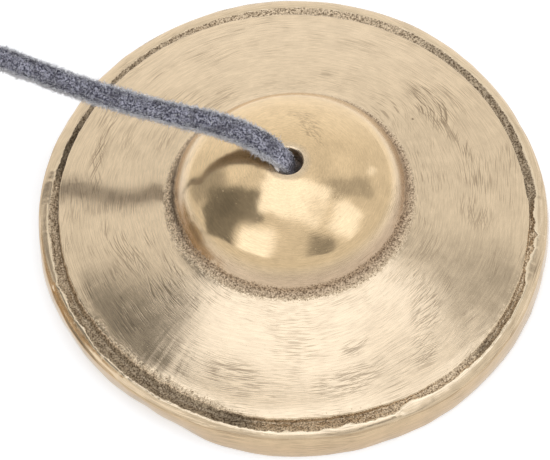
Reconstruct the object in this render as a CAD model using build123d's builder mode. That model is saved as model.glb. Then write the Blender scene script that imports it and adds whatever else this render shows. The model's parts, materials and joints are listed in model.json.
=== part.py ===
# A pair of tingsha cymbals joined by a suede strap, in millimetres, +Z up, resting on the plane Z = 0.
# The origin lies midway between the two cymbals. The strap is knotted inside each dome.
import os
from math import hypot, pi, radians, sqrt, tan

from build123d import *

# Cymbal: rim and lip
rim_diameter = 70.0
rim_face_width = 4.0
rim_wall_height = 3.4
rim_edge_round = 0.4
lip_width = 1.5
lip_bevel_width = 0.5
lip_bevel_height = 1.1
lip_crown_height = 0.25
lip_round = 0.25

# Cymbal: cast groove, flange and dome
groove_width = 1.3
groove_depth = 0.6
groove_draft = 0.2
flange_step = 0.55
flange_rise = 4.85
flange_thickness = 2.8
cast_ring_width = 1.2
cast_ring_step = 0.55
dome_diameter = 30.6
dome_wall_height = 2.116
dome_sphere = 22.0
dome_wall_draft = 0.45
dome_shoulder_round = 3.2
dome_thickness = 2.6
foot_fillet = 1.0
hollow_draft = 1.0
hollow_fillet = 1.5
hole_clearance = 0.32
hole_edge_round = 0.45

# Strap and knots
strap_width = 3.0
strap_thickness = 1.5
knot_overhang = 1.7
knot_height = 5.2
tail_length = 5.0
seat_gap = 0.3
bend_gap = 0.1
mouth_gap = 0.2

# How the cymbals lie: the gap between their rims along X, and how much further along Y the near one lies
rim_gap = 13.0
pair_skew = 9.0

# The strap's route. Over each cymbal it lies in an upright plane through the hole, along a heading.
# The first points of an arch give the distance from the hole's axis and the height above the hole's mouth,
# the falling points the distance and the height above the table, where each arch lands and then turns.
near_heading = 156.0
near_arch_top = [(1.2, 3.3), (3.0, 5.4), (5.8, 6.4), (9.6, 5.9), (15.5, 4.5), (25, 3.9), (38, 4.3)]
near_arch_fall = [(50, 20.6), (60, 14.8), (68.5, 7.8), (77, 2.6)]
near_landing = 86.0
near_turn = 106.0
far_heading = 180.0
far_arch_top = [(1.2, 3.3), (3.2, 5.1), (6.2, 5.7), (10.5, 4.8), (17, 2.2)]
far_arch_fall = [(25, 16.6), (33, 11.6), (40, 6.7), (45.5, 2.5)]
far_landing = 51.0
far_turn = 57.0
bend_share = 0.45

# The bends of the table loop between the two arches, measured from the far cymbal's axis
loop_bends = [(-38.7, 49.3), (-55.5, 40.4), (-65.6, 25.5), (-67.4, 12.6), (-63.7, 4.4)]

# Sizes of the cymbal's section that follow from those above, as radii and heights
rim_radius = rim_diameter / 2
lip_height = rim_wall_height + lip_bevel_height + lip_crown_height
flange_radius = rim_radius - lip_width - groove_width
flange_edge_height = lip_height + flange_step
dome_radius = dome_diameter / 2
foot_radius = dome_radius + cast_ring_width
foot_height = flange_edge_height + flange_rise
dome_base_height = foot_height + cast_ring_step
shoulder_radius = dome_radius - dome_wall_draft
shoulder_height = dome_base_height + dome_wall_height
dome_center_height = shoulder_height - sqrt(dome_sphere**2 - shoulder_radius**2)
hollow_sphere = dome_sphere - dome_thickness
hollow_radius = rim_radius - rim_face_width
hollow_wall_radius = hollow_radius - hollow_draft
hole_radius = hypot(strap_width, strap_thickness) / 2 + hole_clearance
knot_radius = hole_radius + knot_overhang

# The underside of the flange is parallel to its top: height = hollow_top - flange_slope * radius
flange_slope = flange_rise / (flange_radius - foot_radius)
hollow_top = flange_edge_height + flange_slope * flange_radius - flange_thickness * hypot(1, flange_slope)


def sphere_height(radius, sphere):
    """Height at which a sphere about the dome's center has a given radius from the axis."""
    return dome_center_height + sqrt(sphere**2 - radius**2)


def hollow_height(radius):
    """Height of the underside of the flange at a radius."""
    return hollow_top - flange_slope * radius


def hollow_foot():
    """Radius at which the dome's hollow meets the underside of the flange."""
    drop = hollow_top - dome_center_height
    square = 1 + flange_slope**2
    half = drop * flange_slope
    return (half + sqrt(half**2 - square * (drop**2 - hollow_sphere**2))) / square


mouth_height = sphere_height(hole_radius, dome_sphere)
seat_height = sphere_height(hole_radius, hollow_sphere)
bend_height = mouth_height + mouth_gap + strap_thickness / 2
stub_height = bend_height - strap_thickness / 2 - bend_gap
knot_height_above_table = seat_height - seat_gap - knot_height / 2

near_axis = Vector((rim_diameter + rim_gap) / 2, pair_skew / 2)
far_axis = -near_axis


def upright_plane(axis, heading=0.0):
    """A plane that stands on a cymbal's axis, with its X along the heading and its Y up."""
    ahead = Vector(1).rotate(Axis.Z, heading)
    return Plane(origin=axis, x_dir=ahead, z_dir=ahead.cross(Vector(0, 0, 1)))


def make_cymbal(name, axis):
    """One cast cymbal, turned from its section about the dome's axis."""
    foot_middle = hollow_foot()
    dome_middle = (shoulder_radius + hole_radius) / 2
    hollow_middle = (foot_middle + hole_radius) / 2
    rim_corner = (rim_radius, 0)
    lip_edge = (rim_radius - lip_width, lip_height)
    dome_base = (dome_radius, dome_base_height)
    shoulder = (shoulder_radius, shoulder_height)
    mouth = (hole_radius, mouth_height)
    seat = (hole_radius, seat_height)
    hollow_base = (foot_middle, hollow_height(foot_middle))
    hollow_wall = (hollow_wall_radius, hollow_height(hollow_wall_radius))
    with BuildPart() as cymbal:
        with BuildSketch(upright_plane(axis)) as section:
            with BuildLine():
                Polyline(
                    rim_corner,
                    (rim_radius, rim_wall_height),
                    (rim_radius - lip_bevel_width, rim_wall_height + lip_bevel_height),
                    lip_edge,
                    (rim_radius - lip_width - groove_draft, lip_height - groove_depth),
                    (flange_radius + groove_draft, lip_height - groove_depth),
                    (flange_radius, flange_edge_height),
                    (foot_radius, foot_height),
                    dome_base,
                    shoulder,
                )
                ThreePointArc(shoulder, (dome_middle, sphere_height(dome_middle, dome_sphere)), mouth)
                Line(mouth, seat)
                ThreePointArc(seat, (hollow_middle, sphere_height(hollow_middle, hollow_sphere)), hollow_base)
                Polyline(hollow_base, hollow_wall, (hollow_radius, 0), rim_corner)
            make_face()
            for corner, radius in (
                (rim_corner, rim_edge_round),
                (lip_edge, lip_round),
                (dome_base, foot_fillet),
                (shoulder, dome_shoulder_round),
                (mouth, hole_edge_round),
                (hollow_base, hollow_fillet),
                (hollow_wall, hollow_fillet),
            ):
                fillet(section.vertices().sort_by_distance(corner)[0], radius)
        revolve(axis=Axis(axis, (0, 0, 1)))
    cymbal.part.label = name
    export_step(cymbal.part, f"parts/{name}.step")


def make_knot(name, axis, heading):
    """A knot inside a dome, with its tail and the stretch of strap that goes up through the hole."""
    center = axis + Vector(0, 0, knot_height_above_table)
    with BuildPart() as knot:
        with BuildSketch(upright_plane(center)):
            with BuildLine():
                bulge = EllipticalCenterArc((0, 0), knot_radius, knot_height / 2, start_angle=-90, arc_size=180)
                Line(bulge @ 1, bulge @ 0)
            make_face()
        revolve(axis=Axis(axis, (0, 0, 1)))
        for reach in (stub_height - knot_height_above_table, -knot_height / 2 - tail_length):
            with BuildSketch(Plane(center).rotated((0, 0, heading))):
                Rectangle(strap_thickness, strap_width)
            extrude(amount=reach)
    knot.part.label = name
    export_step(knot.part, f"parts/{name}.step")


def arch_points(top, fall, landing, turn):
    """An arch in its upright plane, from the bend over the hole to the first turn on the table."""
    lying = strap_thickness / 2
    raised = [(distance, mouth_height + rise) for distance, rise in top]
    return [(0, bend_height), *raised, *fall, (landing, lying), (turn, lying)]


def along(axis, heading, distance):
    """The place on the table at a distance from a cymbal's axis, along a heading."""
    place = axis + Vector(distance).rotate(Axis.Z, heading)
    return place.X, place.Y


def middle(start, end):
    """The point halfway along a run."""
    return tuple((a + b) / 2 for a, b in zip(start, end))


def bend_radii(points):
    """The radius of each bend, as large as its two runs allow."""
    radii = []
    for before, corner, after in zip(points, points[1:], points[2:]):
        arriving = Vector(*corner) - Vector(*before)
        leaving = Vector(*after) - Vector(*corner)
        turn = radians(arriving.get_angle(leaving))
        radii.append(bend_share * min(arriving.length, leaving.length) / tan(turn / 2))
    return radii


near_arch = arch_points(near_arch_top, near_arch_fall, near_landing, near_turn)
far_arch = arch_points(far_arch_top, far_arch_fall, far_landing, far_turn)
loop = [
    along(near_axis, near_heading, near_landing),
    along(near_axis, near_heading, near_turn),
    *[(far_axis.X + x, far_axis.Y + y) for x, y in loop_bends],
    along(far_axis, far_heading, far_turn),
    along(far_axis, far_heading, far_landing),
]

os.makedirs("parts", exist_ok=True)

# The two cymbals and the knots inside them
make_cymbal("near_cymbal", near_axis)
make_cymbal("far_cymbal", far_axis)
make_knot("near_knot", near_axis, near_heading)
make_knot("far_knot", far_axis, far_heading)

# The strap between the holes: two upright arches, with a round end over the hole, and the loop that lies
# flat on the table. An arch and the loop meet halfway along the run that they share.
lengths = []
with BuildPart() as strap:
    for axis, heading, points in ((near_axis, near_heading, near_arch), (far_axis, far_heading, far_arch)):
        with BuildSketch(upright_plane(axis, heading)):
            with BuildLine():
                route = FilletPolyline(*points[:-1], middle(*points[-2:]), radius=bend_radii(points))
            trace(line_width=strap_thickness)
            with Locations(points[0]):
                Circle(strap_thickness / 2)
        extrude(amount=strap_width / 2, both=True)
        lengths.append(route.length)
    with BuildSketch():
        with BuildLine():
            route = FilletPolyline(
                middle(*loop[:2]), *loop[1:-1], middle(*loop[-2:]), radius=bend_radii(loop)
            )
        trace(line_width=strap_width)
    extrude(amount=strap_thickness)
    lengths.append(route.length)
strap.part.label = "strap"
export_step(strap.part, "parts/strap.step")

# What the strap measures
for name, points in (("near arch", near_arch), ("far arch", far_arch), ("loop", loop)):
    print(name, "bend radii", [round(radius, 1) for radius in bend_radii(points)])
round_ends = pi * strap_thickness**2 / 4 * strap_width
print("strap length", round(sum(lengths), 1))
print("strap volume", round(strap.part.volume, 2))
print("section times length", round(sum(lengths) * strap_width * strap_thickness + round_ends, 2))
print("axes", near_axis, far_axis, "bend axis height", round(bend_height, 3))
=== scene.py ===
import itertools
import json
import math

import bpy
import numpy as np
from mathutils import Matrix, Vector


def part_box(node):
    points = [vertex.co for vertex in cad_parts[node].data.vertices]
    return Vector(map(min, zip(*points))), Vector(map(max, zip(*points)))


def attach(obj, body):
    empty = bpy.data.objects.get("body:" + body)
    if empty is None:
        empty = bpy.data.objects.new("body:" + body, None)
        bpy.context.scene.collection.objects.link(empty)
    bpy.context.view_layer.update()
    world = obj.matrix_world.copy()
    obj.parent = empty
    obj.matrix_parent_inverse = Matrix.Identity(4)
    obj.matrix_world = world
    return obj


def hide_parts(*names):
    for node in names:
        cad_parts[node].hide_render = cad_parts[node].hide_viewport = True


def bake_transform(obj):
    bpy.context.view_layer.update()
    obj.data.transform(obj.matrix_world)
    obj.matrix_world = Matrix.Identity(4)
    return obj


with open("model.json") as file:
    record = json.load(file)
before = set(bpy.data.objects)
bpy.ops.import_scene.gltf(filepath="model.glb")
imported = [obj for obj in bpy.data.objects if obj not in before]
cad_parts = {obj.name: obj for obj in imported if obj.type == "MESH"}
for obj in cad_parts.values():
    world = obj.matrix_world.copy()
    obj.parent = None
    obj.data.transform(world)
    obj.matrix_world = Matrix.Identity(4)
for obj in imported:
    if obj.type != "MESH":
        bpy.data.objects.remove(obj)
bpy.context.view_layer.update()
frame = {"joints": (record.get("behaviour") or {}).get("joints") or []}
joints = {joint["name"]: joint for joint in frame["joints"]}
mm = 0.001

# Places and sizes read from the frame
near_axis = Vector((*joints["near_swivel"]["pos_m"][:2], 0))
far_axis = Vector((*joints["far_swivel"]["pos_m"][:2], 0))
rim_radius = (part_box("near_cymbal")[1].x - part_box("near_cymbal")[0].x) / 2

# Camera: how it looks at the near cymbal. The image is 550 by 460 pixels.
image_width = 550
camera_elevation = math.radians(59.6)
camera_roll = math.radians(-4.3)
camera_distance = 700 * mm
camera_aim = near_axis + Vector((0, 0, 0.48 * mm))
pixels_per_metre = 7237
sensor_width = 36.0
aim_pixel_offset = Vector((18.7, 1.2))

# Cymbal section: radii and heights
rim_foot_round = 0.25 * mm
wall_height = 3.4 * mm
wall_bow = 0.12 * mm
lip_height = 4.75 * mm
flange_radius = 32.2 * mm
flange_height = 5.3 * mm
flange_bow = 0.24 * mm
foot_radius = 16.5 * mm
foot_height = 10.15 * mm
foot_round = 0.45 * mm
dome_wall_rise = 1.0 * mm
dome_wall_slope = -1.9
shoulder_radius = 12.8 * mm
dome_sphere = 22.0 * mm
dome_center_height = -3.416 * mm
dome_thickness = 2.6 * mm
hole_radius = 2.0 * mm
hole_edge_round = 0.35 * mm
hole_offset = Vector((-0.16 * mm, 0.14 * mm))
flange_thickness = 2.8 * mm
hollow_radius = 31 * mm
hollow_wall_radius = 30 * mm
hollow_foot = 15.2 * mm
foot_bow = 0.06 * mm
crease_bow = 0.08 * mm
crown_bow = 0.06 * mm
groove_bow = 0.06 * mm
mouth_bow = 0.1 * mm
hollow_corner_bow = 0.5 * mm
least_bevel = 0.5 * mm
lip_flat = 0.2 * mm
burr_width = 0.2 * mm
dome_wall_inset = 0.2 * mm
narrowest_groove = 0.15 * mm
fringe_width = 1.2 * mm
ring_fade = 0.4 * mm
hole_offset_reach = 9 * mm
dull_flank = (13.2 * mm, 15 * mm)
far_cymbal_turn = math.radians(140)
spokes = 900

# How the hand-finished metal departs from a true circle: millimetres by degrees round the axis
rim_wander = [
    (0, 0), (22, -0.3), (42, -0.1), (55, 0.2), (90, 0.35), (112, 0.5), (125, 0.6), (140, 0.5), (165, 0.25),
    (185, 0), (203, -0.2), (220, -0.35), (240, -0.45), (252, 0), (262, 0.35), (280, 0.5), (300, 0.7),
    (314, 0.6), (335, 0.2),
]
rim_undercut = [
    (190, 0), (200, 0.2), (208, 0.45), (220, 0.35), (230, 0.63), (241, 0.4), (246, 0.1), (251, 0),
]
crease_inset = [
    (0, 0.3), (90, 0.45), (180, 0.35), (215, 0.2), (240, 0.25), (262, 0.55), (285, 0.5), (305, 0.2),
    (330, 0.2),
]
crease_height = [
    (0, 4.1), (90, 4.4), (180, 4.1), (215, 3.7), (240, 3.8), (262, 4.5), (285, 4.4), (305, 3.9), (330, 3.8),
]

# The groove and the cast ring round the dome, with their uneven edges: millimetres by degrees
lip_edge_radius = [
    (0, 33.3), (10, 33.2), (30, 33.2), (40, 33.15), (60, 33.4), (90, 33.5), (150, 33.45), (180, 33.45),
    (200, 33.55), (210, 33.4), (216, 33.6), (240, 33.5), (250, 33.7), (258, 33.95), (270, 34.0),
    (279, 33.8), (284, 34.1), (289, 34.3), (292, 33.8), (294, 33.25), (296, 33.8), (301, 34.1),
    (315, 34.15), (330, 34.0), (335, 33.9), (338, 33.2), (342, 33.05), (344, 33.5), (352, 33.4),
    (355, 33.1), (357, 33.35),
]
lip_raggedness = [
    (0, 0.4), (15, 0.15), (40, 0.08), (180, 0.2), (204, 0.5), (215, 0.25), (240, 0.2), (272, 0.3),
    (290, 0.3), (300, 0.15), (334, 0.1), (345, 0.6),
]
flange_edge_radius = [
    (0, 32.2), (10, 32.0), (25, 31.9), (60, 31.85), (80, 31.95), (90, 32.1), (100, 32.3), (110, 32.45),
    (125, 32.55), (150, 32.5), (165, 32.45), (180, 32.1), (200, 32.0), (207, 31.75), (215, 31.6),
    (232, 31.5), (240, 31.6), (246, 31.85), (250, 32.1), (258, 32.35), (270, 32.3), (280, 32.5),
    (288, 32.7), (294, 33.0), (301, 33.05), (320, 33.0), (330, 32.9), (338, 32.75), (345, 32.5),
    (357, 32.4),
]
flange_raggedness = [(0, 0.05), (180, 0.08), (210, 0.12), (228, 0.3), (246, 0.25), (262, 0.08), (330, 0.08)]
groove_depth = [
    (0, 0.4), (90, 0.35), (180, 0.45), (210, 0.3), (240, 0.3), (255, 0.4), (285, 0.4), (293, 0.1),
    (304, 0.12), (312, 0.2), (318, 0.4), (335, 0.3), (341, 0.08), (347, 0.35),
]
groove_draft = [
    (0, 0.12), (190, 0.2), (204, 0.7), (244, 0.8), (257, 0.2), (299, 0.12), (306, 0.6), (335, 0.4),
]
ring_inner_radius = [
    (0, 15.6), (30, 15.8), (50, 15.95), (65, 15.9), (90, 15.5), (130, 15.6), (145, 16.1), (160, 16.0),
    (180, 15.95), (195, 15.75), (210, 15.75), (225, 15.4), (270, 15.4), (320, 15.4), (345, 15.6),
]
ring_outer_radius = [
    (0, 17.1), (30, 17.0), (45, 16.8), (65, 16.6), (90, 16.2), (130, 16.2), (142, 16.9), (155, 17.2),
    (180, 17.5), (195, 17.7), (210, 17.4), (225, 17.2), (250, 17.0), (275, 17.0), (300, 17.4),
    (330, 17.4), (350, 17.2),
]

# How rough and dark the metal is there, with painted shade in the groove, on its step and in the cove round
# the dome, and a painted highlight on the lip: shares by degrees
ring_roughness = [
    (0, 0.66), (45, 0.6), (70, 0.3), (110, 0.1), (135, 0.35), (155, 0.85), (180, 0.95), (200, 0.8),
    (218, 0.5), (240, 0.6), (270, 0.64), (315, 0.6),
]
groove_darkness = [
    (0, 0.5), (45, 0.5), (60, 0.2), (100, 0.15), (128, 0.4), (146, 0.5), (153, 1.0), (161, 0.95),
    (168, 0.25), (195, 0.4), (210, 0.55), (225, 0.6), (245, 0.6), (254, 0.75), (260, 0.2), (280, 0.05),
    (289, 0), (293, -0.9), (298, -0.1), (312, 0), (316, 0.65), (322, 0.4), (335, 0.25), (340, -0.8),
    (345, 0.1),
]
# Painted shade on the steep step at the flange's edge, with some dark patina
step_painted_shade = [
    (0, 0.8), (60, 0.7), (100, 0.4), (125, 0.9), (160, 1.0), (185, 0.6), (200, 0.1), (246, 0.2), (262, 0.3),
    (286, 0.35), (292, 0.1), (298, 0.3), (304, 0.1), (316, 0.5), (325, 0.1), (350, 0.2),
]
# Painted shade: how much the cove between the cast ring and the dome is darkened
cove_shade_by_angle = [
    (0, 0.9), (45, 0.6), (75, 0.15), (115, 0.1), (140, 0.5), (165, 0.7), (200, 0.7), (230, 0.6),
    (270, 0.8), (330, 0.9),
]
# Painted highlight along the lip's inner edge, in place of the glint of a rounded edge
lip_highlight_by_angle = [
    (0, 0.7), (60, 0.4), (90, 0.2), (150, 0.2), (180, 0.6), (208, 0.9), (240, 0.5), (265, 0.8), (290, 0.6),
    (322, 0.8), (345, 1.0),
]
flange_fringe = [
    (190, 0), (212, 0.3), (228, 0.5), (246, 0.45), (258, 0.1), (320, 0.1), (330, 0.2), (345, 0),
]

# Clusters of scratches on the flange and the dome: the angle and radius of the middle, the reach in degrees
# and in millimetres, how much further out the strokes lie at the end of the reach, and how deep they are
scratch_marks = [
    (158, 28.1, 17, 0.9, -1.1, 0.8), (126, 28.8, 8, 0.8, 0, 0.4), (150, 25, 10, 1.2, -0.6, 0.35),
    (147, 19.5, 8, 1.0, 0.3, 0.5), (117, 18.3, 8, 2.2, -0.3, 0.5), (185, 26, 5, 0.6, 0.2, 0.6),
    (200, 23.3, 7, 1.6, -0.5, 0.5), (212, 19.8, 10, 0.6, 0, 0.7), (216, 22.5, 8, 2.2, -0.4, 0.6),
    (233, 28.1, 6, 0.8, 0.2, 0.5), (250, 28, 11, 2.4, 0.5, 0.8), (286, 24.5, 6, 0.9, -0.4, 0.7),
    (281, 28.5, 12, 2.0, -0.5, 0.7), (296, 30.2, 5, 0.5, -0.1, 0.6), (304, 29, 6, 2.2, -0.5, 0.7),
    (313, 25, 8, 2.5, -1.2, 0.7), (352, 25, 7, 2.5, -0.8, 0.5), (4, 25.5, 7, 2.5, -1.0, 0.6),
    (17, 24.8, 9, 1.0, -0.9, 0.7), (34, 24.5, 12, 2.6, 0.3, 0.9), (34, 28, 9, 1.0, 0, 0.6),
    (65, 27.3, 9, 1.5, 0, 0.35), (332, 20.5, 7, 1.5, 0.5, 0.4),
    (71, 8.1, 20, 0.9, 0.4, 0.6), (52, 5.9, 28, 0.9, 0.5, 0.6),
]

# Strokes in the brass: a seed, how wide they are, how many there are to a radian and how far they wander
brushed_strokes = [(1, 0.11 * mm, 20, 5 * mm), (2, 0.18 * mm, 7, 8 * mm)]
scratch_strokes = [(3, 0.17 * mm, 8, 9 * mm), (5, 0.14 * mm, 10, 13 * mm)]

# Unevenness of the metal, in layers: how deep and how wide it is, and its own seed
cast_bumps = [(0.07 * mm, 0.55 * mm, 5), (0.04 * mm, 0.3 * mm, 6)]
filing_waves = [(0.025 * mm, 9 * mm, 7), (0.010 * mm, 4 * mm, 8)]
wall_dents = [(0.10 * mm, 6 * mm, 9), (0.05 * mm, 2 * mm, 10)]

# Colours
cast_dark = (0.20, 0.135, 0.08)
cast_bare = (0.88, 0.70, 0.48)
wall_brass = (0.60, 0.45, 0.285)
flange_brass = (0.73, 0.575, 0.39)
dome_brass = (0.75, 0.555, 0.325)
scratch_brown = (0.22, 0.155, 0.095)
# Painted highlight of the lip's inner edge
lip_highlight_brass = (0.96, 0.82, 0.60)
# Painted shade and reflection in the cove round the dome, a brownish grey that darkens the metal there
cove_shade_tint = (0.66, 0.61, 0.60)
suede_dark = (0.028, 0.027, 0.045)
suede_light = (0.50, 0.49, 0.56)
suede_blotch = (0.075, 0.07, 0.085)
suede_fibre = (0.92, 0.91, 0.93)
floor_grey = (0.8, 0.8, 0.8)
white = (1, 1, 1)
cool_white = (0.95, 1.0, 1.10)

# Strap
strap_width = 3.0 * mm
strap_thickness = 1.5 * mm
mouth_height = dome_center_height + math.sqrt(dome_sphere**2 - hole_radius**2)
near_heading = math.radians(156)
far_heading = math.radians(180)
near_twist = math.radians(26)
fuzz_share = 0.09
hole_squeeze = 0.06
short_nap = 0.2
# How much paler the strap's underside is painted, so that its reflection in the brass reads lighter
underside_reflection_paleness = 0.4
fibre_density = 3.1
fibre_length = (0.25 * mm, 0.75 * mm)
fibre_radius = (0.03 * mm, 0.065 * mm)
fibre_scatter = 0.08 * mm
fibre_root_depth = 0.06 * mm
strap_step = 0.25 * mm
lying = strap_thickness / 2

# Where along the strap, from its end in the hole, it is free of the hole, flares and is twisted
free_span = (3.5 * mm, 7 * mm)
flare = 0.06
flare_span = (4 * mm, 7 * mm, 12 * mm, 18 * mm)
twist_span = (4 * mm, 12 * mm, 70 * mm, 100 * mm)

# The strap's route in millimetres. Over a cymbal, the distance from the hole's axis along the heading, with
# the height above the hole's mouth, and further out the height above the table. Then the table loop.
# The points of the near arch also have a shift to the left of the heading, between the other two.
near_rise = [(0, -4.0), (0.15, -1.6), (0.4, -0.25)]
near_arch_top = [
    (1.6, -0.1, 0.9), (3.4, -0.3, 1.8), (6.6, -1.0, 2.1), (11, -1.3, 2.0), (16, -0.9, 1.9),
    (21.5, -0.5, 2.1), (27, 0, 2.9), (32, 0.5, 4.2), (36.5, 0.5, 5.0), (42, -0.2, 4.4), (48, -1.7, 1.8),
]
near_arch_fall = [(54, -2.0, 16.6), (61, -1.5, 12.6), (68.5, -0.8, 7.6), (77, -0.3, 2.6)]
near_landing = [86, 106]
loop_bends = [(-38.7, 49.3), (-55.5, 40.4), (-65.6, 25.5), (-67.4, 12.6), (-63.7, 4.4)]
far_landing = [57, 51]
far_arch_fall = [(45.5, 2.5), (40, 6.7), (33, 11.6), (25, 16.6)]
far_arch_top = [(17, 2.2), (10.5, 4.8), (6.2, 5.7), (3.2, 5.1), (1.2, 3.3), (0.6, 0.9)]
far_rise = [(0.3, -1.2), (0, -4.0)]

# Knots: a trefoil of strap inside each dome, with the points of its lead and its tail in millimetres
knot_tail_length = 5 * mm
knot_half_height = 2.6 * mm
knot_center_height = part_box("near_knot")[0].z + knot_tail_length + knot_half_height
knot_radius = 2.0 * mm
knot_swing = 1.0 * mm
knot_rise = 1.25 * mm
knot_strap_width = 2.3 * mm
knot_strap_thickness = 1.2 * mm
knot_fibre_density = 1.5
knot_step = 0.3 * mm
knot_lead = [(0, 0, 3.4), (0.2, 0.1, 2.4)]
knot_tail = [(-0.2, 0.3, -2.4), (0, 0.1, -4.6), (0.5, -0.2, -7.4)]

# Room: a grey studio with bright and dark patches, on a map in degrees from the zenith to the right and back.
# Each patch has its middle, half its width and depth, its turn, its softness and its level.
room_level = 0.9
patch_wander = 7.0
patches = [
    (0, 78, 50, 24, 0, 34, 1.12),
    (-58, 33, 16, 10, 8, 7, 0.5),
    (-34, 33, 7, 9, 0, 6, 1.02),
    (-47, -0.7, 22, 23, -30, 4, 0.25),
    (-49, 10, 10, 8, 0, 12, 0.2),
    (-29, -3, 8, 8.5, 0, 4, 0.25),
    (34, 30, 6, 11, 0, 6, 1.0),
    (38, 13, 19.5, 7.5, 20, 3, 0.57),
    (1.4, 3.5, 22, 15.5, -22, 4, 1.6),
    (18, -6, 6, 8, -25, 4, 1.3),
    (-31, -25, 15, 11, -30, 9, 1.65),
    (38, -11.5, 10.5, 12.5, -18, 7, 1.58),
    (20, -34, 11, 8.5, -10, 6, 0.38),
    (55, 33, 2.5, 4, -25, 2, 1.4),
]

# Floor
floor_size = 400.0
floor_glow = 0.42


def lattice_noise(points, seed):
    """Smooth seeded noise from -1 to 1 at each point, with one lattice cell a unit."""
    size = 32
    table = np.random.default_rng(seed).uniform(-1, 1, (size, size, size))
    cell = np.floor(points).astype(int)
    share = points - cell
    share = share * share * (3 - 2 * share)
    total = np.zeros(len(points))
    for corner in itertools.product((0, 1), repeat=3):
        weight = np.prod(np.where(corner, share, 1 - share), axis=1)
        total += weight * table[tuple(((cell + corner) % size).T)]
    return total


def smooth_step(value, low, high):
    """0 below low, 1 above high and smooth between."""
    share = np.clip((value - low) / (high - low), 0, 1)
    return share * share * (3 - 2 * share)


def within(value, start, full, fading, end):
    """0 before start, 1 from full to fading, 0 after the end and smooth between."""
    return smooth_step(value, start, full) * smooth_step(value, end, fading)


def make_object(name, points, faces, material):
    """A smooth mesh object from points and faces."""
    mesh = bpy.data.meshes.new(name)
    mesh.from_pydata(np.asarray(points).tolist(), [], faces)
    mesh.materials.append(material)
    mesh.shade_smooth()
    piece = bpy.data.objects.new(name, mesh)
    bpy.context.scene.collection.objects.link(piece)
    return piece


def set_shares(piece, name, shares):
    """Gives each point of a piece a number that its material reads."""
    values = piece.data.attributes.new(name, "FLOAT", "POINT").data
    values.foreach_set("value", np.asarray(shares, dtype=np.float32).ravel())


# Shader helpers
def feed(tree, socket, value):
    """Links a socket to another one, or sets its own value."""
    if isinstance(value, bpy.types.NodeSocket):
        tree.links.new(value, socket)
    else:
        socket.default_value = value


def node(tree, kind, inputs=(), output=0, **settings):
    """Adds a shader node with its settings and inputs, and gives one output."""
    made = tree.nodes.new("ShaderNode" + kind)
    for name, value in settings.items():
        setattr(made, name, value)
    for key, value in dict(inputs).items():
        feed(tree, made.inputs[key], value)
    return made.outputs[output]


def calculate(tree, operation, *values):
    """A Math node."""
    return node(tree, "Math", enumerate(values), operation=operation)


def calculate_vector(tree, operation, *values, output=0):
    """A Vector Math node."""
    return node(tree, "VectorMath", enumerate(values), output, operation=operation)


def scale_vector(tree, vector, factor):
    """A vector times a number."""
    return node(tree, "VectorMath", {0: vector, "Scale": factor}, operation="SCALE")


def remap(tree, value, low, high, to_low=0.0, to_high=1.0):
    """A smooth ramp between two levels of a value."""
    inputs = {"Value": value, "From Min": low, "From Max": high, "To Min": to_low, "To Max": to_high}
    return node(tree, "MapRange", inputs, interpolation_type="SMOOTHSTEP")


def opaque(color):
    """A colour with full alpha, or a socket as it is."""
    return (*color, 1) if isinstance(color, tuple) else color


def mix_color(tree, share, a, b, blend="MIX"):
    """A mix of two colours."""
    inputs = {0: share, 6: opaque(a), 7: opaque(b)}
    return node(tree, "Mix", inputs, 2, data_type="RGBA", blend_type=blend)


def mix_number(tree, share, a, b):
    """A mix of two numbers."""
    return node(tree, "Mix", {0: share, 2: a, 3: b}, data_type="FLOAT")


def color_ramp(tree, value, first, last, *between):
    """A ramp of colours over a value. Each stop has its position and its colour."""
    ramp = node(tree, "ValToRGB", {"Fac": value})
    elements = ramp.node.color_ramp.elements
    for element, (position, color) in zip(elements, (first, last)):
        element.position = position
        element.color = opaque(color)
    for position, color in between:
        elements.new(position).color = opaque(color)
    return ramp


def noise_share(tree, place, scale, detail, seed=None, roughness=0.5):
    """Noise from 0 to 1 at a place, in four dimensions where it has a seed."""
    inputs = {"Vector": place, "Scale": scale, "Detail": detail, "Roughness": roughness}
    if seed is None:
        return node(tree, "TexNoise", inputs)
    return node(tree, "TexNoise", {**inputs, "W": seed}, noise_dimensions="4D")


def mesh_share(tree, name):
    """The number under a name that a mesh gives each of its points."""
    return node(tree, "Attribute", output=2, attribute_name=name)


def new_material(name):
    """An empty material with a Principled shader: the material, its tree and the shader node."""
    material = bpy.data.materials.new(name)
    material.use_nodes = True
    return material, material.node_tree, material.node_tree.nodes["Principled BSDF"]


# Materials
def stroke_noise(tree, place, lane, around, seed, width, turns, wander, detail):
    """Noise in strokes that wander about the circles round the axis."""
    drift = noise_share(tree, place, 55, 0.5, seed)
    lane = calculate(tree, "MULTIPLY_ADD", drift, wander, lane)
    lane = node(tree, "CombineXYZ", {"Z": calculate(tree, "DIVIDE", lane, width)})
    lane = calculate_vector(tree, "ADD", scale_vector(tree, around, turns), lane)
    return noise_share(tree, lane, 1, detail, seed)


def scratch_share(tree, place, lane, around, polish):
    """Clusters of thin scratches, fewer on polished metal and more where the mesh is scored."""
    scored = mesh_share(tree, "scored")
    cluster_level = remap(tree, polish, 0.5, 1.0, 0.5, 0.12)
    scratches = 0.0
    for seed, *stroke in scratch_strokes:
        line = stroke_noise(tree, place, lane, around, seed, *stroke, detail=0)
        cluster = remap(tree, noise_share(tree, place, 150, 2, seed), 0.47, 0.68, 0, cluster_level)
        cluster = calculate(tree, "MAXIMUM", cluster, scored)
        line = calculate(tree, "MULTIPLY", remap(tree, line, 0.55, 0.66), cluster)
        scratches = calculate(tree, "MAXIMUM", scratches, line)
    return scratches


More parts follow.
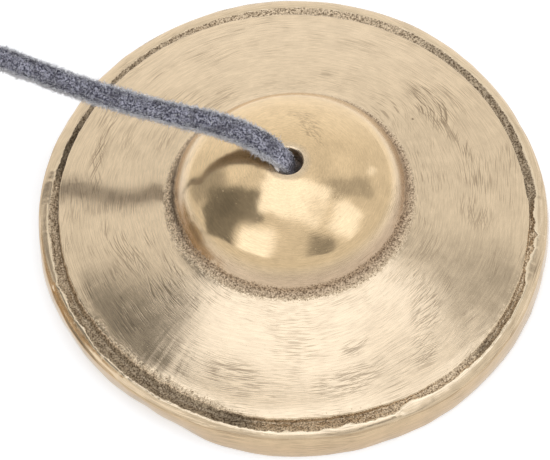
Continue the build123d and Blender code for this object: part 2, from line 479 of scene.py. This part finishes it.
def brass_material():
    """Filed and polished brass, with rough dark cast metal where the mesh says so, and painted shade, painted
    reflection and a painted highlight where the mesh gives them.
    """
    material, tree, shader = new_material("brass")
    place = node(tree, "TexCoord", output=3)
    flat = calculate_vector(tree, "MULTIPLY", place, (1, 1, 0))
    lane = calculate_vector(tree, "LENGTH", flat, output=1)
    lane = calculate(tree, "SUBTRACT", lane, node(tree, "SeparateXYZ", {0: place}, 2))
    around = calculate_vector(tree, "NORMALIZE", flat)
    cast = mesh_share(tree, "cast")
    polish = mesh_share(tree, "polish")

    # Brushed strokes everywhere, clusters of scratches, blotches and pits
    strokes = [stroke_noise(tree, place, lane, around, *stroke, detail=1) for stroke in brushed_strokes]
    strokes = calculate(tree, "ADD", *strokes)
    scratches = scratch_share(tree, place, lane, around, polish)
    mottle = noise_share(tree, place, 420, 4, roughness=0.6)
    pits = node(tree, "TexVoronoi", {"Vector": place, "Scale": 95})
    marks = calculate(tree, "MAXIMUM", scratches, remap(tree, pits, 0.024, 0.010))

    # Cast skin: speckles of dark and of bare metal, darkened further where the share is above 1, which is
    # painted shade in the groove, on its step and on the ring's inner half
    grain = noise_share(tree, place, 4300, 2, roughness=0.6)
    speck = noise_share(tree, place, 4000, 2, seed=4)
    rough_share = remap(tree, calculate(tree, "MULTIPLY_ADD", speck, 1.6, cast), 1.10, 1.45)
    cast_color = color_ramp(tree, grain, (0.36, cast_dark), (0.61, cast_bare))
    cast_color = scale_vector(tree, cast_color, remap(tree, cast, 1.0, 1.5, 1.0, 0.36))

    # Colour, from the filed wall over the flange to the polished dome
    metal = color_ramp(tree, polish, (0.1, wall_brass), (0.95, dome_brass), (0.5, flange_brass))
    tone = remap(tree, strokes, 0.72, 1.28, 0.90, 1.06)
    tone = calculate(tree, "MULTIPLY", tone, remap(tree, mottle, 0.3, 0.7, 0.94, 1.04))
    metal = scale_vector(tree, metal, tone)
    metal = mix_color(tree, calculate(tree, "MULTIPLY", marks, 0.9), metal, scratch_brown)
    # Painted highlight along the lip's inner edge
    metal = mix_color(tree, mesh_share(tree, "painted_lip_highlight"), metal, lip_highlight_brass)
    color = mix_color(tree, rough_share, metal, cast_color)
    # Painted shade and reflection darken the cove round the dome
    color = mix_color(tree, mesh_share(tree, "painted_cove_shade"), color, cove_shade_tint, "MULTIPLY")
    feed(tree, shader.inputs["Base Color"], color)
    shader.inputs["Metallic"].default_value = 1.0

    # Gloss and relief
    smooth_rough = remap(tree, polish, 0.5, 1.0, 0.18, 0.13)
    smooth_rough = calculate(tree, "ADD", smooth_rough, remap(tree, mottle, 0.3, 0.7, -0.02, 0.03))
    feed(tree, shader.inputs["Roughness"], remap(tree, rough_share, 0, 1, smooth_rough, 0.5))
    stroke_depth = remap(tree, polish, 0.5, 1.0, 0.04, 0.014)
    cast_height = calculate(tree, "MULTIPLY", grain, rough_share)
    relief = node(tree, "Bump", {"Strength": stroke_depth, "Distance": 0.1 * mm, "Height": strokes})
    for strength, depth, height in ((0.25, -0.05 * mm, scratches), (0.5, 0.2 * mm, cast_height)):
        inputs = {"Strength": strength, "Distance": depth, "Height": height, "Normal": relief}
        relief = node(tree, "Bump", inputs)
    feed(tree, shader.inputs["Normal"], relief)
    return material


def suede_material():
    """Dark violet-grey suede, paler at its cut edges and its loose fibres, with its underside painted paler
    so that its reflection in the brass reads lighter.
    """
    material, tree, shader = new_material("suede")
    place = node(tree, "TexCoord", output=3)
    nap = noise_share(tree, place, 3500, 3, roughness=0.7)
    blotch = noise_share(tree, place, 420, 3)
    color = color_ramp(tree, nap, (0.42, suede_dark), (0.60, suede_light))
    color = mix_color(tree, remap(tree, blotch, 0.45, 0.65, 0, 0.7), color, suede_blotch)
    color = mix_color(tree, mesh_share(tree, "pale"), color, suede_fibre)
    feed(tree, shader.inputs["Base Color"], color)
    shader.inputs["Roughness"].default_value = 0.95
    shader.inputs["Specular IOR Level"].default_value = 0.2
    relief = node(tree, "Bump", {"Strength": 0.6, "Distance": 0.15 * mm, "Height": nap})
    feed(tree, shader.inputs["Normal"], relief)
    return material


brass = brass_material()
suede = suede_material()


# Cymbals
angles = np.arange(spokes) * 2 * math.pi / spokes
flange_slope = (foot_height - flange_height) / (flange_radius - foot_radius)
hollow_top = flange_height + flange_slope * flange_radius - flange_thickness * math.hypot(1, flange_slope)
hollow_sphere = dome_sphere - dome_thickness


def sphere_height(radius, sphere):
    """Height of a sphere about the dome's center at a radius from the axis."""
    return dome_center_height + np.sqrt(sphere**2 - radius**2)


def by_angle(stops):
    """A value for each angle from stops in degrees, smooth round the circle."""
    degrees, values = zip(*stops)
    plain = np.interp(np.degrees(angles), degrees, values, period=360)
    reach = spokes // 180
    kernel = np.hanning(2 * reach + 3)
    wrapped = np.concatenate([plain[-reach - 1:], plain, plain[:reach + 1]])
    return np.convolve(wrapped, kernel / kernel.sum(), "valid")


def wander(stops):
    """A length for each angle from stops in millimetres by degrees."""
    return by_angle(stops) * mm


def ragged(radius, size, seed):
    """Uneven shares from -1 to 1 along a circle, coarse and fine."""
    circle = np.stack([np.cos(angles), np.sin(angles), np.zeros(spokes)], axis=1) * radius
    return 0.6 * lattice_noise(circle / size, seed) + 0.4 * lattice_noise(circle / (size * 0.4), seed + 1)


def point(radius, height):
    """A point of the section at every angle."""
    level = np.zeros(spokes)
    return np.stack([radius + level, height + level], axis=1)


def on_flange(radius):
    """The point of the flange's top at a radius, at every angle."""
    return point(radius, flange_height + flange_slope * (flange_radius - radius))


def run(start, end, rows, bow=0.0):
    """Rows of points from start towards end, without the end, bowed to the left of the way by up to bow."""
    way = end - start
    left = np.stack([-way[:, 1], way[:, 0]], axis=1) / np.linalg.norm(way, axis=1, keepdims=True)
    share = (np.arange(rows) / rows)[:, None, None]
    return start + share * way + 4 * bow * share * (1 - share) * left


def fillet_between(start, start_slope, end, end_slope, rows):
    """Rows of points on a curve from start towards end, without the end, along a slope at each."""
    drop = end[:, 1] - start[:, 1] + start_slope * start[:, 0] - end_slope * end[:, 0]
    radius = drop / (start_slope - end_slope)
    corner = np.stack([radius, start[:, 1] + start_slope * (radius - start[:, 0])], axis=1)
    share = (np.arange(rows) / rows)[:, None, None]
    return (1 - share) ** 2 * start + 2 * share * (1 - share) * corner + share**2 * end


def over_sphere(start, end, rows, sphere):
    """Rows of points over a sphere about the dome's center, without the end, by radii."""
    share = (np.arange(rows) / rows)[:, None]
    radius = start + share * (end - start)
    return np.stack([radius, sphere_height(radius, sphere)], axis=2)


def cymbal_edges(seed):
    """Radii of the uneven edges on a cymbal's top, at every angle."""
    flange = wander(flange_edge_radius)
    flange = flange + wander(flange_raggedness) * ragged(flange_radius, 0.9 * mm, seed + 2)
    lip_base = wander(lip_edge_radius)
    lip = lip_base + wander(lip_raggedness) * ragged(flange_radius, 1.0 * mm, seed)
    return {
        "flange": flange,
        "lip_base": lip_base,
        "lip": np.maximum(lip, flange + narrowest_groove),
        "ring_in": wander(ring_inner_radius),
        "ring_out": wander(ring_outer_radius),
    }


def cymbal_section(edges):
    """A cymbal's section at every angle, as rows of points, and which rows are of each kind of surface."""
    flange, lip, ring_in = edges["flange"], edges["lip"], edges["ring_in"]
    fade_out = edges["ring_out"] + ring_fade
    rim = rim_radius + wander(rim_wander)
    rim_foot = rim - wander(rim_undercut)
    crease_top = wander(crease_height)
    draft = np.minimum(wander(groove_draft), 0.6 * (lip - flange))
    hole_top = hole_radius + hole_edge_round

    hollow_edge = point(hollow_radius, 0)
    foot = point(rim_foot - rim_foot_round, 0)
    wall = point(rim_foot, rim_foot_round)
    shoulder = point(rim, np.minimum(wall_height, crease_top - least_bevel))
    crease = point(rim - wander(crease_inset), crease_top)
    lip_top = point(np.maximum(lip, edges["lip_base"]) + lip_flat, lip_height)
    lip_edge = point(lip, lip_height)
    groove = point(flange + draft, lip_height - wander(groove_depth))
    flange_edge = on_flange(flange)
    burr = on_flange(flange - burr_width)
    fringe = on_flange(flange - fringe_width)
    ring = on_flange(fade_out)
    foot_start = on_flange(ring_in + foot_round)
    dome_wall = point(ring_in - dome_wall_inset, foot_start[:, 1] + dome_wall_rise)
    dome_start = point(shoulder_radius, sphere_height(shoulder_radius, dome_sphere))
    dome_slope = -shoulder_radius / math.sqrt(dome_sphere**2 - shoulder_radius**2)
    mouth_edge = point(hole_top, sphere_height(hole_top, dome_sphere))
    mouth = point(hole_radius, mouth_height - hole_edge_round)
    seat = point(hole_radius, sphere_height(hole_radius, hollow_sphere))
    hollow_base = point(hollow_foot, sphere_height(hollow_foot, hollow_sphere))
    hollow_corner = point(hollow_wall_radius, hollow_top - flange_slope * hollow_wall_radius)

    stretches = [
        ("under", run(hollow_edge, foot, 2)),
        ("wall", run(foot, wall, 3, -foot_bow)),
        ("wall", run(wall, shoulder, 6, -wall_bow)),
        ("wall", run(shoulder, crease, 4, -crease_bow)),
        ("crown", run(crease, lip_top, 5, -crown_bow)),
        ("lip", run(lip_top, lip_edge, 2)),
        ("groove", run(lip_edge, groove, 10, groove_bow)),
        ("step", run(groove, flange_edge, 3)),
        ("fringe", run(flange_edge, burr, 2)),
        ("fringe", run(burr, fringe, 3)),
        ("flange", run(fringe, ring, 15, -flange_bow)),
        ("ring", run(ring, foot_start, 8)),
        ("foot", fillet_between(foot_start, -flange_slope, dome_wall, dome_wall_slope, 6)),
        ("flank", fillet_between(dome_wall, dome_wall_slope, dome_start, dome_slope, 12)),
        ("dome", over_sphere(dome_start[:, 0], mouth_edge[:, 0], 10, dome_sphere)),
        ("hole", run(mouth_edge, mouth, 4, -mouth_bow)),
        ("hole", run(mouth, seat, 2)),
        ("under", over_sphere(seat[:, 0], hollow_base[:, 0], 5, hollow_sphere)),
        ("under", run(hollow_base, hollow_corner, 4)),
        ("under", run(hollow_corner, hollow_edge, 3, -hollow_corner_bow)),
    ]
    section = np.concatenate([rows for kind, rows in stretches])
    kinds = np.array([kind for kind, rows in stretches for row in rows])
    return section, {kind: (kinds == kind)[:, None] for kind in set(kinds.tolist())}


def scored_share(at, is_kind):
    """How deep the clusters of scratches are at each point of the section."""
    scored = np.zeros_like(at)
    for middle, radius, reach, width, lean, depth in scratch_marks:
        along = (np.degrees(angles) - middle + 180) % 360 - 180
        aside = at / mm - radius - lean * along / reach
        mark = smooth_step(np.hypot(along / reach, aside / width), 1.3, 0.5)
        scored = np.maximum(scored, depth * mark * (is_kind["flange"] | is_kind["dome"]))
    return scored


def cymbal_finish(section, is_kind, edges):
    """How rough, polished and scratched the metal is at each point of the section, with painted shade in the
    groove, on its step, on the ring and in the cove, and a painted highlight on the lip.
    """
    at = section[:, :, 0]
    flange, ring_in, ring_out = edges["flange"], edges["ring_in"], edges["ring_out"]
    in_ring = smooth_step(at, ring_in - 0.2 * mm, ring_in + 0.2 * mm)
    in_ring = in_ring * smooth_step(at, ring_out + ring_fade, ring_out - 0.5 * mm)
    # The ring's inner half runs above 1, which is painted shade next to the dome
    in_ring = in_ring * (1.5 - 0.8 * smooth_step(at, ring_in + 0.3 * mm, ring_out))
    in_fringe = smooth_step(at, flange - fringe_width, flange)
    groove_dark = by_angle(groove_darkness)
    # Above 1 the groove and its step darken: dark cast skin with painted shade
    step_shade = np.maximum(groove_dark, by_angle(step_painted_shade))
    cast = is_kind["groove"] * (1 + 0.5 * groove_dark) + is_kind["step"] * (1 + 0.5 * step_shade)
    cast = cast + (is_kind["ring"] | is_kind["foot"]) * in_ring * by_angle(ring_roughness)
    cast = cast + is_kind["fringe"] * in_fringe * by_angle(flange_fringe)

    on_dome = is_kind["dome"] | is_kind["flank"]
    polish = 0.5 * ~(on_dome | is_kind["wall"] | is_kind["under"]) + 1.0 * on_dome
    polish = polish * np.ones(spokes) - 0.5 * is_kind["flank"] * smooth_step(at, *dull_flank)
    # Painted highlight along the lip's inner edge
    painted_lip_highlight = 0.6 * is_kind["lip"] * by_angle(lip_highlight_by_angle)
    # Painted shade and reflection in the cove round the dome, from the flank's foot over the ring's inner
    # part
    painted_cove_shade = smooth_step(at, ring_in - 1.5 * mm, ring_in - 0.3 * mm)
    painted_cove_shade = painted_cove_shade * smooth_step(at, ring_out, ring_in + 0.2 * mm)
    painted_cove_shade = painted_cove_shade * (is_kind["ring"] | is_kind["foot"] | is_kind["flank"]) * by_angle(cove_shade_by_angle)
    scored = scored_share(at, is_kind)
    return {"cast": cast, "polish": polish, "painted_lip_highlight": painted_lip_highlight, "scored": scored, "painted_cove_shade": painted_cove_shade}


def solid_points(section):
    """The points in space of a section, about the Z axis."""
    radius, height = section[:, :, 0], section[:, :, 1]
    return np.stack([radius * np.cos(angles), radius * np.sin(angles), height], axis=2)


def uneven_points(section, is_kind, cast, seed):
    """A cymbal's points, with the unevenness of its cast and filed surfaces and of its hole."""
    ahead = np.roll(section, -1, axis=0) - np.roll(section, 1, axis=0)
    outward = np.stack([ahead[:, :, 1], -ahead[:, :, 0]], axis=2)
    outward /= np.linalg.norm(outward, axis=2, keepdims=True)
    places = solid_points(section).reshape(-1, 3)

    def relief(layers):
        heights = [depth * lattice_noise(places / width, seed + layer) for depth, width, layer in layers]
        return sum(heights).reshape(cast.shape)

    bumps = np.minimum(cast, 1) * relief(cast_bumps)
    waves = relief(filing_waves)
    dents = is_kind["wall"] * relief(wall_dents)
    finished = ~(is_kind["under"] | is_kind["hole"])
    section = section + ((bumps + waves + dents) * finished)[:, :, None] * outward
    points = solid_points(section)
    points[:, :, 2] = np.maximum(points[:, :, 2], 0)
    near_hole = smooth_step(section[:, :, 0], hole_offset_reach, hole_radius)[:, :, None]
    points[:, :, :2] += near_hole * np.array(hole_offset)
    return points.reshape(-1, 3)


def make_cymbal(name, axis, seed, turn):
    """A cast cymbal with its groove, cast ring and uneven hand finish, turned about its axis."""
    edges = cymbal_edges(seed)
    section, is_kind = cymbal_section(edges)
    finish = cymbal_finish(section, is_kind, edges)
    points = uneven_points(section, is_kind, finish["cast"], seed)
    points = points @ np.array(Matrix.Rotation(turn, 3, "Z")).T
    rows = len(section)
    column = np.arange(spokes)
    beside = (column + 1) % spokes
    faces = []
    for row in range(rows):
        here, after = row * spokes, (row + 1) % rows * spokes
        quads = np.stack([here + column, here + beside, after + beside, after + column], axis=1)
        faces.extend(quads.tolist())
    piece = make_object(name, points, faces, brass)
    for share, values in finish.items():
        set_shares(piece, share, values)
    piece.location = axis
    return piece


for side, axis, seed, turn in (("near", near_axis, 10, 0), ("far", far_axis, 40, far_cymbal_turn)):
    metal = make_cymbal(f"{side}_cymbal_metal", axis, seed, turn)
    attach(metal, f"{side}_cymbal")
    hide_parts(f"{side}_cymbal")


# Strap
def above(axis, heading, distance, height):
    """The point at a distance from a cymbal's axis along a heading, and at a height above the table."""
    return axis + Vector((math.cos(heading) * distance, math.sin(heading) * distance, height))


def across_heading(heading):
    """The level direction to the left of a heading."""
    return (-math.sin(heading), math.cos(heading), 0)


def strap_route():
    """The strap's control points from inside the near dome to inside the far one."""
    def arch(axis, heading, points, base):
        across = Vector(across_heading(heading))
        return [
            above(axis, heading, distance * mm, base + height * mm) + sum(left) * mm * across
            for distance, *left, height in points
        ]

    near_table = [(distance, lying / mm) for distance in near_landing]
    far_table = [(distance, lying / mm) for distance in far_landing]
    return [
        *arch(near_axis, near_heading, near_rise + near_arch_top, mouth_height),
        *arch(near_axis, near_heading, near_arch_fall + near_table, 0),
        *[far_axis + Vector((x * mm, y * mm, lying)) for x, y in loop_bends],
        *arch(far_axis, far_heading, far_table + far_arch_fall, 0),
        *arch(far_axis, far_heading, far_arch_top + far_rise, mouth_height),
    ]


def smooth_line(control_points):
    """Points along the smooth spline that a route's control points give."""
    curve = bpy.data.curves.new("route", "CURVE")
    curve.dimensions = "3D"
    curve.resolution_u = 24
    spline = curve.splines.new("NURBS")
    spline.points.add(len(control_points) - 1)
    for control, place in zip(spline.points, control_points):
        control.co = (*place, 1)
    spline.order_u = 3
    spline.use_endpoint_u = True
    guide = bpy.data.objects.new("route", curve)
    line = bpy.data.meshes.new_from_object(guide)
    points = np.array([vertex.co for vertex in line.vertices])
    bpy.data.objects.remove(guide)
    bpy.data.meshes.remove(line)
    return points


def lengths_along(points):
    """The length of a line from its start to each of its points."""
    return np.concatenate([[0], np.cumsum(np.linalg.norm(np.diff(points, axis=0), axis=1))])


def even_line(points, step):
    """The same line with points about one step apart."""
    lengths = lengths_along(points)
    at = np.linspace(0, lengths[-1], int(lengths[-1] / step) + 1)
    return np.stack([np.interp(at, lengths, points[:, k]) for k in range(3)], axis=1)


def carry_across(line, across):
    """Directions across and out of a flat strap at each point of a line, carried on without twist."""
    ahead = np.gradient(line, axis=0)
    ahead /= np.linalg.norm(ahead, axis=1, keepdims=True)
    sideways = []
    for way in ahead:
        across = across - np.dot(across, way) * way
        across = across / np.linalg.norm(across)
        sideways.append(across)
    sideways = np.array(sideways)
    return sideways, np.cross(ahead, sideways)


def flat_section(corners=24):
    """A flat section with rounded corners, as shares of half the width and of half the thickness."""
    turn = np.arange(corners) * 2 * math.pi / corners
    squareness = 0.42
    wide = np.sign(np.cos(turn)) * np.abs(np.cos(turn)) ** squareness
    thick = np.sign(np.sin(turn)) * np.abs(np.sin(turn)) ** squareness
    return np.stack([wide, thick], axis=1)


def make_fibres(surface, normals, edge, under, nap, density, seed):
    """Loose fibres rooted in a suede surface, by the nap's share of full length: points, faces, paleness."""
    random = np.random.default_rng(seed)
    count = int(len(surface) * density)
    pick = random.integers(0, len(surface), count)
    normal, on_edge = normals[pick], edge[pick, None]
    root = surface[pick] + random.normal(0, fibre_scatter, (count, 3))
    spread = random.normal(0, 1, (count, 3))
    spread -= (spread * normal).sum(1, keepdims=True) * normal
    spread /= np.linalg.norm(spread, axis=1, keepdims=True)
    length = random.uniform(*fibre_length, (count, 1)) * (1 + 0.5 * on_edge) * nap[pick, None]
    lift = random.uniform(0.1, 0.5, (count, 1)) + 0.4 * on_edge * random.uniform(0, 1, (count, 1))
    tip = root + (spread + lift * normal) * length
    side = np.cross(normal, spread)
    thick = random.uniform(*fibre_radius, (count, 1)) * (1 + 0.3 * on_edge)
    below = root - fibre_root_depth * normal
    base = [below + thick * (math.cos(t) * side + math.sin(t) * normal) for t in np.radians((90, 210, 330))]
    points = np.stack([*base, tip], axis=1).reshape(-1, 3)
    first = np.arange(count)[:, None] * 4
    faces = [first + np.array(corners) for corners in ((0, 1, 3), (1, 2, 3), (2, 0, 3), (2, 1, 0))]
    pale = random.uniform(0, 1, (count, 1)) ** 2.2 + on_edge * random.uniform(0.5, 1, (count, 1))
    # Fibres on the underside are painted paler too, for a lighter reflection in the brass
    pale = pale + underside_reflection_paleness * under[pick, None]
    return points, np.concatenate(faces), np.repeat(np.clip(pale, 0, 1), 4)


def make_strap(name, line, across, width, thickness, nap, density, seed, twist=0.0):
    """A stretch of suede strap along a line, with its first direction across, widths, nap and twist."""
    sideways, out = carry_across(line, np.array(across))
    lean = np.broadcast_to(twist, len(line))[:, None]
    flat_sideways, flat_out = sideways, out
    sideways = np.cos(lean) * flat_sideways - np.sin(lean) * flat_out
    out = np.cos(lean) * flat_out + np.sin(lean) * flat_sideways
    section = flat_section()
    corners, rings = len(section), len(line)
    wide = section[None, :, 0:1] * np.broadcast_to(width, rings)[:, None, None] / 2
    thick = section[None, :, 1:2] * thickness / 2
    points = (line[:, None] + wide * sideways[:, None] + thick * out[:, None]).reshape(-1, 3)
    away = section[None, :, 0:1] ** 5 * sideways[:, None] + section[None, :, 1:2] ** 5 * out[:, None]
    away = (away / np.linalg.norm(away, axis=2, keepdims=True)).reshape(-1, 3)
    edge = np.tile(smooth_step(np.abs(section[:, 0]), 0.85, 1.0), rings)
    under = np.tile(smooth_step(-section[:, 1], 0.3, 0.9), rings)
    uneven = 0.06 * mm * lattice_noise(points / (0.5 * mm), seed)
    uneven += 0.08 * mm * lattice_noise(points / (2 * mm), seed + 1)
    points = points + uneven[:, None] * away
    here = np.arange(corners)
    beside = (here + 1) % corners
    faces = [here.tolist(), ((rings - 1) * corners + here[::-1]).tolist()]
    for ring in range(rings - 1):
        start, after = ring * corners, (ring + 1) * corners
        faces.extend(np.stack([start + here, after + here, after + beside, start + beside], axis=1).tolist())
    nap = np.repeat(np.broadcast_to(nap, rings), corners)
    fibres, fibre_faces, fibre_pale = make_fibres(points, away, edge, under, nap, density, seed + 2)
    faces.extend((fibre_faces + len(points)).tolist())
    points = np.concatenate([points, fibres])
    points[:, 2] = np.maximum(points[:, 2], 0.02 * mm)
    piece = make_object(name, points, faces, suede)
    # Cut edges are paler for their fuzz, and the underside is painted paler for a lighter reflection in the
    # brass
    set_shares(piece, "pale", np.concatenate([0.25 * edge + underside_reflection_paleness * under, fibre_pale]))
    return piece


def knot_line(axis, heading):
    """The strap's line through a knot, from the hole above it to the end of its tail."""
    turns = np.radians(np.arange(30, 331, 20))
    radius = knot_radius + knot_swing * np.cos(3 * turns)
    trefoil = [radius * np.cos(2 * turns), radius * np.sin(2 * turns), knot_rise * np.sin(3 * turns)]
    places = [*np.array(knot_lead) * mm, *np.stack(trefoil, axis=1), *np.array(knot_tail) * mm]
    center = axis + Vector((0, 0, knot_center_height))
    turned = Matrix.Translation(center) @ Matrix.Rotation(heading, 4, "Z")
    return smooth_line([turned @ Vector(place) for place in places])


knots = {}
for side, axis, heading, seed in (("near", near_axis, near_heading, 50), ("far", far_axis, far_heading, 60)):
    knots[side] = make_strap(
        f"{side}_overhand_knot", even_line(knot_line(axis, heading), knot_step), across_heading(heading),
        knot_strap_width, knot_strap_thickness, short_nap, knot_fibre_density, seed,
    )
    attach(knots[side], f"{side}_knot")
    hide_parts(f"{side}_knot")

# The free stretch of the strap, as two halves that each follow their own knot at the hole
route = smooth_line(strap_route())
route_line = even_line(route, strap_step)
half = len(route_line) // 2
near_line, far_line = route_line[:half + 1], route_line[:half - 1:-1]
for side, axis, heading, line, seed, lean in (
    ("near", near_axis, near_heading, near_line, 70, near_twist),
    ("far", far_axis, far_heading, far_line, 80, 0),
):
    along = np.arange(len(line)) * strap_step
    free = smooth_step(along, *free_span)
    nap = short_nap + (1 - short_nap) * free
    swell = 1 + flare * within(along, *flare_span) - hole_squeeze * (1 - free)
    width = (1 - fuzz_share) * strap_width * swell
    thickness = (1 - fuzz_share) * strap_thickness
    twist = lean * within(along, *twist_span)
    across = across_heading(heading)
    piece = make_strap(f"{side}_strap_half", line, across, width, thickness, nap, fibre_density, seed, twist)
    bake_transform(piece)
    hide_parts("strap")


# Floor, room and camera
def make_floor():
    """A pale floor that keeps the object's shadow and is white to the camera and in reflections."""
    bpy.ops.mesh.primitive_plane_add(size=floor_size)
    floor = bpy.context.object
    floor.name = "floor"
    material, tree, shader = new_material("floor")
    shader.inputs["Base Color"].default_value = opaque(floor_grey)
    shader.inputs["Roughness"].default_value = 1.0
    shader.inputs["Specular IOR Level"].default_value = 0.0
    shader.inputs["Emission Color"].default_value = opaque(white)
    ray = tree.nodes.new("ShaderNodeLightPath").outputs
    seen = calculate(tree, "MAXIMUM", ray["Is Camera Ray"], ray["Is Glossy Ray"])
    feed(tree, shader.inputs["Emission Strength"], calculate(tree, "MULTIPLY", seen, floor_glow))
    floor.data.materials.append(material)


def patch_share(tree, room_map, middle, half_size, turn, softness):
    """How much of a patch lies at each place of the room's map, with soft edges."""
    offset = calculate_vector(tree, "SUBTRACT", room_map, (*middle, 0))
    c, s = math.cos(math.radians(turn)), math.sin(math.radians(turn))
    shares = []
    for axis, reach in zip(((c, s, 0), (-s, c, 0)), half_size):
        distance = calculate_vector(tree, "DOT_PRODUCT", offset, axis, output=1)
        distance = calculate(tree, "ABSOLUTE", distance)
        shares.append(remap(tree, distance, reach + softness / 2, reach - softness / 2))
    return calculate(tree, "MULTIPLY", *shares)


def make_room():
    """The studio round the object, white to the camera."""
    world = bpy.data.worlds.new("room")
    bpy.context.scene.world = world
    world.use_nodes = True
    tree = world.node_tree
    way = node(tree, "TexCoord")
    height = node(tree, "SeparateXYZ", {0: way}, 2)
    off_zenith = calculate(tree, "DEGREES", calculate(tree, "ARCCOSINE", height))
    compass = calculate_vector(tree, "NORMALIZE", calculate_vector(tree, "MULTIPLY", way, (1, 1, 0)))
    room_map = scale_vector(tree, compass, off_zenith)
    uneven = node(tree, "TexNoise", {"Vector": room_map, "Scale": 0.11, "Detail": 1}, 1)
    uneven = calculate_vector(tree, "SUBTRACT", uneven, (0.5, 0.5, 0.5))
    room_map = calculate_vector(tree, "ADD", room_map, scale_vector(tree, uneven, patch_wander))
    level = room_level
    for right_of, back_of, half_width, half_depth, turn, softness, brightness in patches:
        middle, half_size = (right_of, back_of), (half_width, half_depth)
        share = patch_share(tree, room_map, middle, half_size, turn, softness)
        level = mix_number(tree, share, level, brightness)
    tint = mix_color(tree, remap(tree, level, 0.95, 1.5), white, cool_white)
    seen = tree.nodes.new("ShaderNodeLightPath").outputs["Is Camera Ray"]
    background = tree.nodes["Background"]
    feed(tree, background.inputs["Color"], mix_color(tree, seen, tint, white))
    feed(tree, background.inputs["Strength"], mix_number(tree, seen, level, 1.0))


def make_camera():
    """The camera, which looks at the near cymbal from the front and above."""
    right = Vector((1, 0, 0))
    back = Vector((0, -math.cos(camera_elevation), math.sin(camera_elevation)))
    up = Vector((0, math.sin(camera_elevation), math.cos(camera_elevation)))
    camera_x = right * math.cos(camera_roll) + up * math.sin(camera_roll)
    camera_y = up * math.cos(camera_roll) - right * math.sin(camera_roll)
    camera_data = bpy.data.cameras.new("camera")
    camera_data.sensor_width = sensor_width
    camera_data.lens = pixels_per_metre * camera_distance * sensor_width / image_width
    camera = bpy.data.objects.new("camera", camera_data)
    bpy.context.scene.collection.objects.link(camera)
    bpy.context.scene.camera = camera
    aim_shift = aim_pixel_offset / pixels_per_metre
    place = camera_aim + back * camera_distance - camera_x * aim_shift.x - camera_y * aim_shift.y
    turned = Matrix((camera_x, camera_y, back)).transposed().to_4x4()
    camera.matrix_world = Matrix.Translation(place) @ turned


make_floor()
make_room()
make_camera()

bpy.context.scene.view_settings.view_transform = "Standard"
